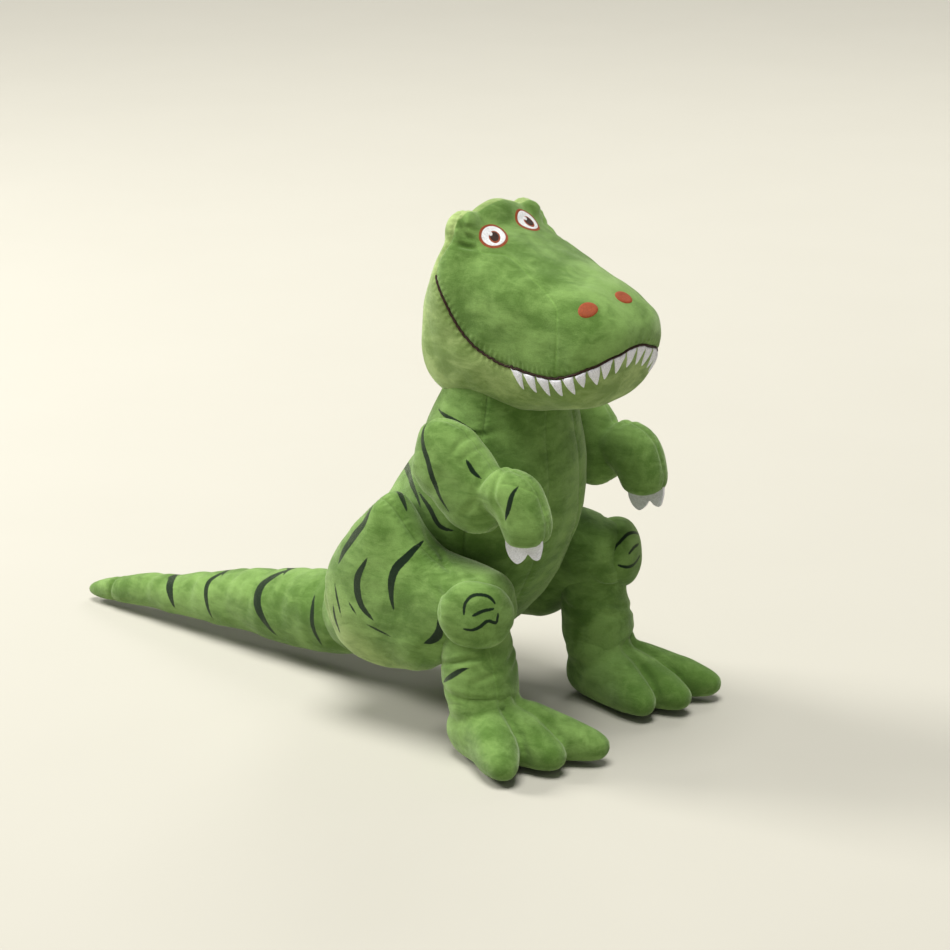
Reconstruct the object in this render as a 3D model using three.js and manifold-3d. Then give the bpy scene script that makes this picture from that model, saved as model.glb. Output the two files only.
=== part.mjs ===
// A sewn and stuffed toy tyrannosaur, about one metre from nose to tail tip.
// Units are millimetres. +X is the way it faces, +Y its left, +Z up; the origin lies on the floor
// under the middle of its bounding box. Every soft part is a fabric skin cut into panels round a wadding core.
import * as THREE from "three";
import { mergeVertices } from "three/addons/utils/BufferGeometryUtils.js";
import Module from "manifold-3d";

const wasm = await Module();
wasm.setup();

// ---- Driving dimensions -------------------------------------------------------------------------
const SKIN = 3; // plush fabric with its pile
const GAP = 0.4; // between any two solids
const LOOSE = 1.2; // between a skin and its filling
const RIGHT = -1; // the sign of y on the toy's right
const LEFT = 1;
const SIDES = [
  ["right", RIGHT],
  ["left", LEFT],
];

const HIP = [180, 92, 212]; // where a thigh is sewn to the flat side of the torso
const SHOULDER = [270, 106, 400]; // where an arm is sewn on
const NECK = [286, 0, 520]; // the head nods and turns about this point
const NECK_R = 92;
const HEAD_TURN = -8; // degrees, how far the stuffed head sits turned to the toy's right
const TAIL_ROOT = [20, 0, 94];
const TAIL_ROOT_R = 62;
const TAIL_MID = [-195, 0, 69];
const TAIL_MID_R = 44;
const ANKLE = [350, 140, 84];
const ANKLE_R = 46;

const CHEST_SEAM_Y = 36; // half the width of the chest panel
const THIGH_SEAM_Y = 152;
const ARM_SEAM_Y = 138;
const SOLE_SEAM_Z = 12;
const TAIL_TIP_SEAM_X = -466;

// ---- Materials ----------------------------------------------------------------------------------
const material = (color, roughness) =>
  new THREE.MeshStandardMaterial({ color, roughness, metalness: 0 });
const plush = material(0x5b9a3c, 0.95);
const palePlush = material(0x86ab55, 0.95);
const wadding = material(0xf2f0ea, 1);
const felt = material(0xeeeef2, 0.9);
const darkThread = material(0x33221c, 0.6);
const eyeThread = material(0xf4f2f0, 0.6);
const rustThread = material(0xb5432a, 0.6);

// ---- Solids -------------------------------------------------------------------------------------
function solid(geometry) {
  const bare = new THREE.BufferGeometry();
  bare.setAttribute("position", geometry.getAttribute("position"));
  if (geometry.index) bare.setIndex(geometry.index);
  const merged = mergeVertices(bare, 1e-4);
  return new wasm.Manifold(
    new wasm.Mesh({
      numProp: 3,
      vertProperties: merged.attributes.position.array,
      triVerts: new Uint32Array(merged.index.array),
    }),
  );
}

// A round body from pole to pole through stations [x, y, z, half width, half height].
// The width runs along `side`. `blunt` above 2 squares off the ends, `square` the cross-section.
function loft(stations, options = {}, shrink = 0) {
  const { rings = 10, sides = 16, blunt = 2.4, square = 2, side = [0, 1, 0] } = options;
  const spine = new THREE.CatmullRomCurve3(
    stations.map(([x, y, z]) => new THREE.Vector3(x, y, z)),
  );
  const girth = new THREE.CatmullRomCurve3(
    stations.map(([, , , w, h]) => new THREE.Vector3(w, h, 0)),
  );
  const across = new THREE.Vector3(...side);
  const vertices = [];
  for (let ring = 0; ring <= rings; ring++) {
    const t = (1 - Math.cos((Math.PI * ring) / rings)) / 2;
    const along = spine.getTangent(t);
    const centre = spine.getPoint(t).addScaledVector(along, shrink * (1 - 2 * t));
    if (ring === 0 || ring === rings) {
      vertices.push(centre);
      continue;
    }
    const wide = across.clone().addScaledVector(along, -across.dot(along));
    wide.normalize();
    const high = new THREE.Vector3().crossVectors(along, wide);
    const taper = (1 - Math.abs(2 * t - 1) ** blunt) ** (1 / blunt);
    const { x: w, y: h } = girth.getPoint(t);
    for (let i = 0; i < sides; i++) {
      const cos = Math.cos((2 * Math.PI * i) / sides);
      const sin = Math.sin((2 * Math.PI * i) / sides);
      const reach = taper / (Math.abs(cos) ** square + Math.abs(sin) ** square) ** (1 / square);
      vertices.push(
        centre
          .clone()
          .addScaledVector(wide, reach * (w - shrink) * cos)
          .addScaledVector(high, reach * (h - shrink) * sin),
      );
    }
  }
  const at = (ring, i) => 1 + (ring - 1) * sides + (i % sides);
  const last = vertices.length - 1;
  const faces = [];
  for (let i = 0; i < sides; i++) {
    faces.push(0, at(1, i + 1), at(1, i));
    for (let ring = 1; ring < rings - 1; ring++) {
      faces.push(at(ring, i), at(ring, i + 1), at(ring + 1, i + 1));
      faces.push(at(ring, i), at(ring + 1, i + 1), at(ring + 1, i));
    }
    faces.push(at(rings - 1, i), at(rings - 1, i + 1), last);
  }
  const geometry = new THREE.BufferGeometry();
  geometry.setFromPoints(vertices);
  geometry.setIndex(faces);
  return solid(geometry);
}

const FACETS = 14; // round each ball of a joint
function ball([x, y, z], radius) {
  const geometry = new THREE.SphereGeometry(radius, FACETS, FACETS / 2);
  return solid(geometry.translate(x, y, z));
}

// A hollow wide enough for a faceted ball of this radius to turn in.
const well = (at, radius) => ball(at, radius / Math.cos(Math.PI / FACETS) ** 2 + GAP);

function ellipsoid([x, y, z], [rx, ry, rz], detail = 8) {
  const geometry = new THREE.SphereGeometry(1, detail, detail / 2);
  return solid(geometry.scale(rx, ry, rz).translate(x, y, z));
}

// The box between two corners.
function block(low, high) {
  const size = high.map((value, i) => value - low[i]);
  const geometry = new THREE.BoxGeometry(...size);
  return solid(geometry.translate(...low.map((value, i) => value + size[i] / 2)));
}

// A cylinder round the line from a point along a direction.
function rod(from, along, radius, length, sides = 12) {
  const geometry = new THREE.CylinderGeometry(radius, radius, length, sides);
  const up = new THREE.Vector3(0, 1, 0);
  const way = new THREE.Vector3(...along).normalize();
  geometry.applyQuaternion(new THREE.Quaternion().setFromUnitVectors(up, way));
  return solid(geometry.translate(...from));
}

// A cone with its point at `tip`, opening along a direction with a half angle in degrees.
function cone(tip, along, halfAngle, length, sides = 14) {
  const radius = length * Math.tan(THREE.MathUtils.degToRad(halfAngle));
  const geometry = new THREE.ConeGeometry(radius, length, sides).translate(0, -length / 2, 0);
  const down = new THREE.Vector3(0, -1, 0);
  const way = new THREE.Vector3(...along).normalize();
  geometry.applyQuaternion(new THREE.Quaternion().setFromUnitVectors(down, way));
  return solid(geometry.translate(...tip));
}

// A prism across the toy with the side view's outline [x, z].
function prism(outline, halfWidth = 400) {
  const shape = new THREE.Shape(outline.map(([x, z]) => new THREE.Vector2(x, z)));
  const geometry = new THREE.ExtrudeGeometry(shape, {
    depth: 2 * halfWidth,
    bevelEnabled: false,
  });
  return solid(geometry.rotateX(Math.PI / 2).translate(0, halfWidth, 0));
}

const mirrored = (stations, sign) => stations.map(([x, y, z, ...rest]) => [x, sign * y, z, ...rest]);
const FAR = 2000;
const outside = (sign, y) => // everything further out than y on one side
  sign > 0 ? block([-FAR, y, -FAR], [FAR, FAR, FAR]) : block([-FAR, -FAR, -FAR], [FAR, -y, FAR]);
const below = (z) => block([-FAR, -FAR, -FAR], [FAR, FAR, z]);
const above = (z) => block([-FAR, -FAR, z], [FAR, FAR, FAR]);
const behind = (x) => block([-FAR, -FAR, -FAR], [x, FAR, FAR]);
const ahead = (x) => block([x, -FAR, -FAR], [FAR, FAR, FAR]);

// ---- The toy as named meshes --------------------------------------------------------------------
const toy = new THREE.Group();

// Adds the largest piece of a solid: a cut can leave crumbs beside it.
function add(name, body, finish) {
  const pieces = body.decompose().sort((a, b) => b.volume() - a.volume());
  const { numProp, vertProperties, triVerts } = pieces[0].getMesh();
  const positions = new Float32Array((vertProperties.length / numProp) * 3);
  for (let i = 0; i < positions.length / 3; i++) {
    positions.set(vertProperties.subarray(i * numProp, i * numProp + 3), i * 3);
  }
  const geometry = new THREE.BufferGeometry();
  geometry.setAttribute("position", new THREE.BufferAttribute(positions, 3));
  geometry.setIndex(new THREE.BufferAttribute(triVerts, 1));
  geometry.computeVertexNormals();
  const mesh = new THREE.Mesh(geometry, finish);
  mesh.name = name;
  toy.add(mesh);
}

// The outside, the hollow in the skin, and the core that fills it.
function stuffed(build) {
  const outer = build(0);
  return {
    outer,
    shell: outer.subtract(build(SKIN)),
    core: build(SKIN + LOOSE),
    grown: (by) => build(-by),
  };
}

// ---- Torso --------------------------------------------------------------------------------------
// Stations are [x, y, z, half width, half height] from the rump up to the neck.
const TORSO = [
  [-40, 0, 90, 84, 72],
  [30, 0, 104, 88, 80],
  [94, 0, 142, 100, 104],
  [165, 0, 195, 110, 122],
  [228, 0, 262, 114, 128],
  [272, 0, 340, 110, 116],
  [284, 0, 410, 112, 100],
  [288, 0, 475, 106, 94],
  [288, 0, 560, 102, 92],
  [288, 0, 640, 100, 90],
];
const neckWell = well(NECK, NECK_R);
const torso = stuffed((s) => loft(TORSO, { rings: 9, sides: 12, blunt: 3 }, s));
const hipFlat = (sign) =>
  outside(sign, HIP[1]).intersect(rod([HIP[0], sign * HIP[1], HIP[2]], [0, 1, 0], 150, 400));
const torsoRoom = [
  neckWell,
  well(TAIL_ROOT, TAIL_ROOT_R),
  behind(TAIL_ROOT[0] + 22),
  ...SIDES.map(([, sign]) => hipFlat(sign)),
  ...SIDES.map(([, sign]) => outside(sign, SHOULDER[1]).intersect(above(330))),
].reduce((all, cut) => all.add(cut));
const collar = cone(NECK, [0, 0, -1], 64, 700);
const trimTorso = (body) => body.intersect(collar).subtract(torsoRoom);

const chest = (gap) =>
  block([240 - gap, -CHEST_SEAM_Y - gap, -FAR], [FAR, CHEST_SEAM_Y + gap, FAR]);
add("chest_panel", trimTorso(torso.shell).intersect(chest(0)), plush);
for (const [name, sign] of SIDES) {
  const flank = trimTorso(torso.shell).subtract(chest(GAP)).intersect(outside(sign, GAP / 2));
  add(`torso_panel_${name}`, flank, plush);
}
add("torso_filling", trimTorso(torso.core), wadding);
add("neck_filling", ball(NECK, NECK_R), wadding);

// ---- Head ---------------------------------------------------------------------------------------
const HEAD = [
  [174, 0, 586, 66, 66],
  [204, 0, 586, 100, 104],
  [245, 0, 596, 112, 134],
  [276, 0, 594, 113, 136],
  [306, 0, 580, 110, 118],
  [345, 0, 577, 104, 110],
  [395, 0, 572, 93, 101],
  [450, 0, 563, 82, 87],
  [494, 0, 558, 75, 71],
  [526, 0, 556, 64, 54],
];
const BROW = [262, 60, 707];
const MOUTH = [ // side view of the mouth, [x, z], from its corner forward
  [208, 662],
  [262, 608],
  [312, 568],
  [356, 541],
  [417, 527],
  [450, 535],
  [480, 549],
  [560, 577],
];
const NAPE = [ // the seam from the corner of the mouth up over the back of the head
  [285, 820],
  [232, 700],
];
const SNOUT_SEAM = [
  [255, 820],
  [246, 716],
  [300, 697],
  [344, 690],
  [388, 640],
  [420, 597],
  [417, 527],
];
const headSolid = (s) => {
  const skull = loft(HEAD, { rings: 9, sides: 12, blunt: 3, square: 2.8 }, s);
  return SIDES.reduce((all, [, sign]) => {
    const brow = ellipsoid([BROW[0], sign * BROW[1], BROW[2]], [30 - s, 30 - s, 33 - s]);
    return all.add(brow);
  }, skull);
};
const head = stuffed(headSolid);
const headNode = (name, body, finish) =>
  add(name, body.translate(-NECK[0], 0, 0).rotate(0, 0, HEAD_TURN).translate(NECK[0], 0, 0), finish);
const headRoom = neckWell.add(cone(NECK, [0, 0, -1], 74, 200));
const headShell = head.shell.subtract(headRoom);
const upperHead = (gap) =>
  prism([...NAPE, ...MOUTH, [560, 820]].map(([x, z]) => [x - gap, z - gap]));
const topOfHead = (gap) =>
  prism([...SNOUT_SEAM, [417, 400], [600, 400], [600, 820]].map(([x, z]) => [x - gap, z - gap]));
headNode("head_top_panel", headShell.intersect(upperHead(0)).intersect(topOfHead(0)), plush);
for (const [name, sign] of SIDES) {
  const cheek = headShell.intersect(upperHead(0)).subtract(topOfHead(GAP));
  headNode(`head_side_panel_${name}`, cheek.intersect(outside(sign, GAP / 2)), plush);
}
headNode("jaw_panel", headShell.subtract(upperHead(GAP)), palePlush);
headNode("head_filling", head.core.subtract(headRoom), wadding);

// The outer layer of thread or felt lying on a body, between two heights above its surface.
const layer = (build, low, high) => build(-high).subtract(build(-low));
const band = (line, drop) => [...line, ...line.map(([x, z]) => [x - 0.3 * drop, z - drop]).reverse()];

const mouthLayer = layer(headSolid, GAP, 3);
headNode("mouth_seam", mouthLayer.intersect(prism(band(MOUTH, 4))).subtract(behind(213)), darkThread);

// Teeth, side by side under the mouth seam.
const TOOTH = [16, 26]; // its width at the top and its length
const MUZZLE = [370, 150, 88]; // in plan the muzzle's front half is an ellipse: x, long and short half axes
const TOOTH_ANGLES = [8, 23, 37, 49, 60, 70, 79, 88]; // along that ellipse, on each side
const GUM = 5; // below the middle of the mouth seam
function mouthZ(x) {
  const next = MOUTH.findIndex(([mouthX]) => mouthX > x);
  const [[x0, z0], [x1, z1]] = [MOUTH[next - 1], MOUTH[next]];
  return z0 + ((z1 - z0) * (x - x0)) / (x1 - x0);
}
function tooth(degrees) {
  const [width, length] = TOOTH;
  const [x, long, short] = MUZZLE;
  const angle = THREE.MathUtils.degToRad(degrees);
  const at = [x + long * Math.cos(angle), short * Math.sin(angle)];
  const facing = Math.atan2(long * Math.sin(angle), short * Math.cos(angle));
  const shape = new THREE.Shape();
  shape.moveTo(-width / 2, 0);
  shape.lineTo(0, -length);
  shape.lineTo(width / 2, 0);
  const geometry = new THREE.ExtrudeGeometry(shape, { depth: 70, bevelEnabled: false });
  geometry.translate(0, 0, -45).rotateX(Math.PI / 2).rotateZ(facing + Math.PI / 2);
  return solid(geometry.translate(...at, mouthZ(at[0]) - GUM));
}
const gumLine = MOUTH.slice(3).map(([x, z]) => [x, z - GUM]);
const teeth = SIDES.flatMap(([, sign]) => TOOTH_ANGLES.map((angle) => tooth(sign * angle)))
  .reduce((all, next) => all.add(next), prism(band(gumLine, 1.5)));
const seamRoom = prism(band(MOUTH.map(([x, z]) => [x, z + GAP]), 4 + 2 * GAP));
headNode("teeth", layer(headSolid, GAP, 1.8).intersect(teeth).subtract(seamRoom), felt);

// Discs of embroidery on the head: a point, the way they face, and a radius.
function patch(name, at, facing, radius, heights, finish) {
  const disc = rod(at, facing, radius, 60);
  headNode(name, layer(headSolid, ...heights).intersect(disc), finish);
}
for (const [name, sign] of SIDES) {
  patch(`eye_${name}`, [293, sign * 40, 706], [0.8, 0, 0.6], 18, [GAP, 1.6], eyeThread);
  patch(`pupil_${name}`, [295, sign * 40, 705], [0.8, 0, 0.6], 8, [2, 3.2], darkThread);
  patch(`nostril_${name}`, [472, sign * 31, 630], [0.5, 0, 0.86], 11, [GAP, 1.8], rustThread);
}

// ---- Arms ---------------------------------------------------------------------------------------
const ARM = [ // from the shoulder to the hand
  [232, 140, 430, 20, 32],
  [250, 140, 426, 32, 52],
  [280, 140, 412, 35, 60],
  [314, 140, 392, 34, 57],
  [350, 140, 372, 34, 50],
  [392, 140, 366, 33, 47],
  [430, 140, 358, 30, 40],
  [452, 140, 352, 24, 28],
];
const CLAWS = [ // one felt piece with two points, in side view
  [392, 332],
  [393, 303],
  [401, 294],
  [413, 290],
  [428, 306],
  [441, 300],
  [449, 314],
  [446, 336],
];
for (const [name, sign] of SIDES) {
  const arm = stuffed((s) => {
    const whole = loft(mirrored(ARM, sign), { rings: 7, sides: 9, blunt: 3, square: 2.2 }, s);
    return whole.intersect(outside(sign, SHOULDER[1] + GAP + s));
  });
  add(`arm_outer_panel_${name}`, arm.shell.intersect(outside(sign, ARM_SEAM_Y)), plush);
  add(`arm_inner_panel_${name}`, arm.shell.subtract(outside(sign, ARM_SEAM_Y - GAP)), plush);
  add(`arm_filling_${name}`, arm.core, wadding);
  const claws = prism(CLAWS).intersect(outside(sign, ARM_SEAM_Y - 2));
  add(`claws_${name}`, claws.subtract(outside(sign, ARM_SEAM_Y + 2)).subtract(arm.grown(GAP)), felt);
}

// ---- Legs ---------------------------------------------------------------------------------------
const THIGH = [ // from the back of the haunch to the knee
  [84, 140, 186, 32, 46],
  [98, 140, 188, 44, 76],
  [134, 140, 203, 52, 112],
  [188, 140, 216, 54, 128],
  [250, 140, 205, 54, 102],
  [318, 140, 213, 50, 65],
  [370, 140, 217, 44, 50],
  [392, 140, 216, 40, 44],
];
const SHIN = [
  [338, 140, 230, 50, 50],
  [336, 140, 160, 51, 51],
  [344, 140, 112, 50, 51],
  [350, 140, 70, 49, 49],
  [350, 140, 30, 47, 47],
];
const TOES = { // how far each toe reaches forward and outward from the ankle; no two are alike
  right: [
    [160, -66],
    [136, 6],
    [100, 86],
  ],
  left: [
    [122, -58],
    [150, 2],
    [152, 82],
  ],
};
const KNEE_PAD_R = 50;
const KNEE_PAD_THICK = 9;
for (const [name, sign] of SIDES) {
  const thigh = stuffed((s) => {
    const whole = loft(mirrored(THIGH, sign), { rings: 8, sides: 10, blunt: 3, square: 2.3 }, s);
    return whole.intersect(outside(sign, HIP[1] + GAP + s));
  });
  add(`thigh_outer_panel_${name}`, thigh.shell.intersect(outside(sign, THIGH_SEAM_Y)), plush);
  add(`thigh_inner_panel_${name}`, thigh.shell.subtract(outside(sign, THIGH_SEAM_Y - GAP)), plush);
  add(`thigh_filling_${name}`, thigh.core, wadding);
  const kneeDisc = rod([350, sign * 160, 214], [0.72, sign * 0.7, 0], KNEE_PAD_R, 160);
  const kneePad = thigh.grown(KNEE_PAD_THICK).intersect(kneeDisc).intersect(ahead(290));
  add(`knee_pad_${name}`, kneePad.subtract(thigh.grown(GAP)), plush);

  const ankle = [ANKLE[0], sign * ANKLE[1], ANKLE[2]];
  const kneeRoom = thigh.grown(GAP).add(kneePad.subtract(thigh.grown(GAP)).add(
    thigh.grown(KNEE_PAD_THICK + GAP).intersect(kneeDisc)));
  const ankleRoom = well(ankle, ANKLE_R).add(below(ANKLE[2] + 10));
  const shin = stuffed((s) =>
    loft(mirrored(SHIN, sign), { rings: 4, sides: 10, blunt: 4 }, s).subtract(
      thigh.grown(GAP + s)));
  add(`shin_skin_${name}`, shin.shell.subtract(kneeRoom).subtract(ankleRoom), plush);
  add(`shin_filling_${name}`, shin.core.subtract(kneeRoom).subtract(ankleRoom), wadding);

  const foot = stuffed((s) => {
    const toes = TOES[name].map(([ahead, outward]) => {
      const toe = [
        [ankle[0] - 40, ankle[1], 38, 42, 44],
        [ankle[0] + 0.3 * ahead, ankle[1] + 0.3 * sign * outward, 36, 40, 42],
        [ankle[0] + 0.7 * ahead, ankle[1] + 0.7 * sign * outward, 30, 33, 31],
        [ankle[0] + ahead, ankle[1] + sign * outward, 22, 24, 20],
      ];
      return loft(toe, { rings: 5, sides: 7, blunt: 3 }, s);
    });
    const tread = toes.reduce((all, toe) => all.add(toe)).subtract(above(ANKLE[2] - s));
    return tread.add(ball(ankle, ANKLE_R - s)).intersect(above(s));
  });
  add(`foot_upper_${name}`, foot.shell.intersect(above(SOLE_SEAM_Z + GAP)), plush);
  add(`foot_sole_${name}`, foot.shell.subtract(above(SOLE_SEAM_Z)), palePlush);
  add(`foot_filling_${name}`, foot.core, wadding);
}

// ---- Tail ---------------------------------------------------------------------------------------
const TAIL = [
  [120, 0, 110, 64, 72],
  [20, 0, 94, 63, 66],
  [-56, 0, 82, 58, 61],
  [-193, 0, 69, 45, 46],
  [-338, 0, 48, 31, 31],
  [-442, 0, 34, 24, 24],
  [-502, 0, 21, 19, 18],
  [-526, 0, 17, 16, 15],
];
const tailWhole = (s) => loft(TAIL, { rings: 8, sides: 10, blunt: 4 }, s);
const tailBase = stuffed((s) => {
  const run = tailWhole(s).intersect(behind(TAIL_ROOT[0]));
  return run.add(ball(TAIL_ROOT, TAIL_ROOT_R - s));
});
const tailBaseRoom = well(TAIL_MID, TAIL_MID_R).add(behind(TAIL_MID[0] + 12));
const tailEnd = stuffed((s) => {
  const run = tailWhole(s).intersect(behind(TAIL_MID[0]));
  return run.add(ball(TAIL_MID, TAIL_MID_R - s));
});
add("tail_base_skin", tailBase.shell.subtract(tailBaseRoom), plush);
add("tail_base_filling", tailBase.core.subtract(tailBaseRoom), wadding);
add("tail_end_skin", tailEnd.shell.subtract(behind(TAIL_TIP_SEAM_X + GAP)), plush);
add("tail_tip_skin", tailEnd.shell.intersect(behind(TAIL_TIP_SEAM_X)), plush);
add("tail_end_filling", tailEnd.core, wadding);

export default toy;
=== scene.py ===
"""Looks of the stuffed dinosaur: sewn plush skins over wadding, with embroidered and felt trim."""

import math

import bmesh
import bpy
import numpy as np
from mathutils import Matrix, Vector
from mathutils.bvhtree import BVHTree


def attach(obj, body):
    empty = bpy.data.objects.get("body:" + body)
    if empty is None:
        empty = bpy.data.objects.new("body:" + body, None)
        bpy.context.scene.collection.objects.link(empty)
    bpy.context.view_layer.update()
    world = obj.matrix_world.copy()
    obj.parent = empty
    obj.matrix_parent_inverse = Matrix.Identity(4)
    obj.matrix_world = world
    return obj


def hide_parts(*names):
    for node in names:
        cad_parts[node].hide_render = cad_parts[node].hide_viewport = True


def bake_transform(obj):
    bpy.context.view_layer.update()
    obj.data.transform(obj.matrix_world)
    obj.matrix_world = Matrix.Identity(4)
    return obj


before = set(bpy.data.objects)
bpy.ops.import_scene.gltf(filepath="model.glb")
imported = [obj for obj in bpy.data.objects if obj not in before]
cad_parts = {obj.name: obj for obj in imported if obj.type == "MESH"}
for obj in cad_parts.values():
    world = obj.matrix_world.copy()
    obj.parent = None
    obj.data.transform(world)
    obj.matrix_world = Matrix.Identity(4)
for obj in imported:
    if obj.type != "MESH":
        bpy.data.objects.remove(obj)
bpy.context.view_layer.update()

MM = 0.001
SIDES = (("right", -1), ("left", 1))
NECK = (0.286, 0, 0.520)
HEAD_TURN = math.radians(-8)
FLOOR_GAP = 0.0005

# ---- Camera and lights ---------------------------------------------------------------------------
AZIMUTH, ELEVATION = math.radians(36.8), math.radians(17.2)
AIM = Vector((0.230, 0, 0.344))
DISTANCE = 4.2
LENS, SENSOR, CLIP_END = 113.7, 36, 50
LIGHT_AIM = Vector((0.1, 0, 0.3))
AREA_LIGHTS = [  # name, place, size in metres, watts, tint
    ("key", (-5.0, -1.7, 3.8), 2.2, 400, (1.0, 0.985, 0.95)),
    ("fill", (3.6, -3.4, 2.6), 3.0, 12, (0.98, 0.99, 1.0)),
    ("rim", (-1.0, 4.6, 4.2), 2.6, 80, (1.0, 0.99, 0.96)),
]
SUN_FROM, SUN_TINT = (0.10, -0.19, 1), (1.0, 0.99, 0.97)
SUN_STRENGTH, SUN_SPREAD = 3.5, math.radians(32)
SKY, SKY_STRENGTH = (0.96, 0.95, 0.92, 1), 0.16


def standing(name, data, place, back):
    """A camera or light at a place, with its back towards a direction."""
    obj = bpy.data.objects.new(name, data)
    obj.location = place
    obj.rotation_euler = Vector(back).to_track_quat("Z", "Y").to_euler()
    bpy.context.collection.objects.link(obj)
    return obj


away = Vector((
    math.sin(AZIMUTH) * math.cos(ELEVATION),
    -math.cos(AZIMUTH) * math.cos(ELEVATION),
    math.sin(ELEVATION),
))
lens = bpy.data.cameras.new("camera")
lens.lens = LENS
lens.sensor_width = SENSOR
lens.clip_end = CLIP_END
bpy.context.scene.camera = standing("camera", lens, AIM + away * DISTANCE, away)

for name, spot, size, watts, tint in AREA_LIGHTS:
    lamp = bpy.data.lights.new(name, "AREA")
    lamp.shape = "SQUARE"
    lamp.size = size
    lamp.energy = watts
    lamp.color = tint
    standing(name, lamp, spot, Vector(spot) - LIGHT_AIM)
sun = bpy.data.lights.new("top", "SUN")
sun.energy = SUN_STRENGTH
sun.angle = SUN_SPREAD
sun.color = SUN_TINT
standing("top", sun, (0, 0, 0), SUN_FROM)

bpy.context.scene.view_settings.view_transform = "Standard"
world = bpy.data.worlds.new("studio")
bpy.context.scene.world = world
world.use_nodes = True
world.node_tree.nodes["Background"].inputs["Color"].default_value = SKY
world.node_tree.nodes["Background"].inputs["Strength"].default_value = SKY_STRENGTH


# ---- Lines and closed bodies ---------------------------------------------------------------------
def lengths(line):
    """How far along a line each of its points lies."""
    return np.concatenate([[0], np.cumsum(np.linalg.norm(np.diff(line, axis=0), axis=1))])


def curve_at(knots, s, u):
    """Rows of numbers at the places u of a smooth curve through the knots, which lie at s."""
    slope = np.gradient(knots, s, axis=0)
    i = np.clip(np.searchsorted(s, u, "right") - 1, 0, len(s) - 2)
    h = (s[i + 1] - s[i])[:, None]
    x = (u - s[i])[:, None] / h
    return (
        (2 * x**3 - 3 * x**2 + 1) * knots[i]
        + (x**3 - 2 * x**2 + x) * h * slope[i]
        + (3 * x**2 - 2 * x**3) * knots[i + 1]
        + (x**3 - x**2) * h * slope[i + 1]
    )


def crowded(count):
    """Numbers from 0 to 1 that crowd towards both ends."""
    return (1 - np.cos(np.pi * np.arange(count) / (count - 1))) / 2


def spline(rows, count):
    """Rows of numbers joined smoothly, in `count` rows that crowd towards both ends."""
    knots = np.array(rows, float)
    s = lengths(knots[:, :3])
    return curve_at(knots, s, crowded(count) * s[-1])


def smoothed(line, step=4.0):
    """A line through points in millimetres, as close points in metres."""
    line = np.array(line, float)
    if len(line) < 3:
        line = np.array([line[0], (line[0] + line[-1]) / 2, line[-1]])
    s = lengths(line)
    return curve_at(line, s, np.linspace(0, s[-1], max(4, int(s[-1] / step)))) * MM


def resampled(line, step):
    """A line's points again, at even steps."""
    s = lengths(line)
    u = np.linspace(0, s[-1], int(s[-1] / step) + 2)
    return np.stack([np.interp(u, s, line[:, k]) for k in range(3)], axis=1)


def mirrored(rows, sign):
    return [(row[0], sign * row[1], *row[2:]) for row in rows]


def on_side(marks, sign):
    """Marks that start with a line, moved to one side of the toy."""
    return [(mirrored(line, sign), *sizes) for line, *sizes in marks]


def both_sides(marks):
    return on_side(marks, -1) + on_side(marks, 1)


def rounded_square(sides, square):
    """Across and up round a rim: a circle at square 2, nearer a square above that."""
    turn = 2 * np.pi * np.arange(sides) / sides
    cos, sin = np.cos(turn), np.sin(turn)
    reach = 1 / (np.abs(cos) ** square + np.abs(sin) ** square) ** (1 / square)
    return reach * cos, reach * sin


def tube_faces(rings, sides):
    """Faces of a closed tube: a pole, rings - 2 rims, and a pole."""
    at = lambda ring, i: 1 + ring * sides + i % sides
    last = at(rings - 2, 0)
    faces = []
    for i in range(sides):
        faces.append((0, at(0, i + 1), at(0, i)))
        faces.append((at(rings - 3, i), at(rings - 3, i + 1), last))
        for ring in range(rings - 3):
            faces.append((at(ring, i), at(ring, i + 1), at(ring + 1, i + 1), at(ring + 1, i)))
    return faces


def loft(rows, rings=60, sides=48, blunt=3.0, square=2.2):
    """A closed round body through [x, y, z, half width, half height] in millimetres."""
    line = spline(rows, rings)
    centre = line[:, :3]
    along = np.gradient(centre, axis=0)
    along /= np.linalg.norm(along, axis=1)[:, None]
    side = np.array((0.0, 1.0, 0.0))
    wide = side - along * (along @ side)[:, None]
    wide /= np.linalg.norm(wide, axis=1)[:, None]
    high = np.cross(along, wide)
    taper = (1 - np.abs(2 * crowded(rings) - 1) ** blunt) ** (1 / blunt)
    across, up = rounded_square(sides, square)
    rim = (
        centre[1:-1, None]
        + wide[1:-1, None] * (taper * line[:, 3])[1:-1, None, None] * across[None, :, None]
        + high[1:-1, None] * (taper * line[:, 4])[1:-1, None, None] * up[None, :, None]
    )
    points = [centre[0], *rim.reshape(-1, 3), centre[-1]]
    return np.array(points) * MM, tube_faces(rings, sides)


def slices(rows, y=0, rings=90, sides=72, square=2.7):
    """A closed body of upright slices along the toy, through [x, low, high, half width]."""
    x, low, high, wide = spline(rows, rings).T
    across, up = rounded_square(sides, square)
    middle, half = (low + high) / 2, (high - low) / 2
    rim = np.stack([
        np.outer(x, np.ones(sides)),
        y + np.outer(wide, across),
        middle[:, None] + np.outer(half, up),
    ], axis=-1)
    points = [(x[0], y, middle[0]), *rim[1:-1].reshape(-1, 3), (x[-1], y, middle[-1])]
    return np.array(points) * MM, tube_faces(rings, sides)


def ellipsoid(at, radii, rings=24):
    """A closed body about a place, in millimetres."""
    sides = 2 * rings
    u = np.pi * np.arange(rings + 1) / rings
    v = 2 * np.pi * np.arange(sides) / sides
    grid = np.stack([
        np.outer(np.sin(u), np.cos(v)),
        np.outer(np.sin(u), np.sin(v)),
        np.outer(np.cos(u), np.ones_like(v)),
    ], axis=-1)[1:-1]
    points = np.concatenate([[[0, 0, 1]], grid.reshape(-1, 3), [[0, 0, -1]]])
    faces = [face[:1] + face[:0:-1] for face in tube_faces(rings + 1, sides)]
    return (points * np.array(radii) + np.array(at)) * MM, faces


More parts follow.
